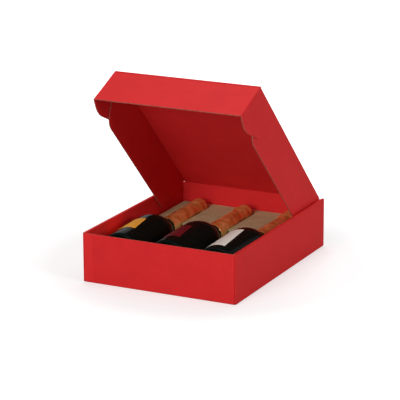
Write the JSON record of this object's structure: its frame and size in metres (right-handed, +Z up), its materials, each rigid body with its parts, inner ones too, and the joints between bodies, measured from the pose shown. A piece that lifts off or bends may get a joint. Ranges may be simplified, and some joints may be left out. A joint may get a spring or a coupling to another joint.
{
  "type": "bottle shipping box",
  "caption": "Folded red corrugated box with a hinged tuck-in lid, a kraft neck insert and sealed bottles lying in it.",
  "frame": {"origin": "middle of the tray's underside, on the surface that the box stands on", "axes": "+Z up, +Y towards the hinge side, -Y out of the tray's front wall, +X to the right seen from the front"},
  "size_m": [0.3, 0.382, 0.3615],
  "materials": {
    "red_board": "matt red printed corrugated board",
    "kraft_board": "bare brown kraft board",
    "dark_glass": "glossy dark green glass, filled",
    "copper_foil": "crumpled copper-coloured foil",
    "orange_label": "coated paper",
    "dark_red_label": "coated paper",
    "cream_label": "coated paper"
  },
  "bodies": {
    "tray_body": {"tray": "red_board", "neck_insert": "kraft_board", "bottle_left": "dark_glass", "bottle_middle": "dark_glass", "bottle_right": "dark_glass", "capsule_left": "copper_foil", "capsule_middle": "copper_foil", "capsule_right": "copper_foil", "label_left": "orange_label", "label_middle": "dark_red_label", "label_right": "cream_label"},
    "lid_body": {"lid": "red_board"},
    "tuck_flap_body": {"tuck_flap": "red_board"}
  },
  "joints": [
    {"name": "lid_hinge", "type": "hinge", "parent": "tray_body", "child": "lid_body", "pos_m": [0, 0.1901, 0.0911], "axis": [-1, 0, 0], "range_deg": [-45.5, 74.5]},
    {"name": "tuck_flap_fold", "type": "hinge", "parent": "lid_body", "child": "tuck_flap_body", "pos_m": [0, -0.07477, 0.36064], "axis": [-1, 0, 0], "range_deg": [-41.6, 68]}
  ],
  "couplings": [
    {"joint": "tuck_flap_fold", "follows": "lid_hinge", "ratio": 0.9125}
  ]
}
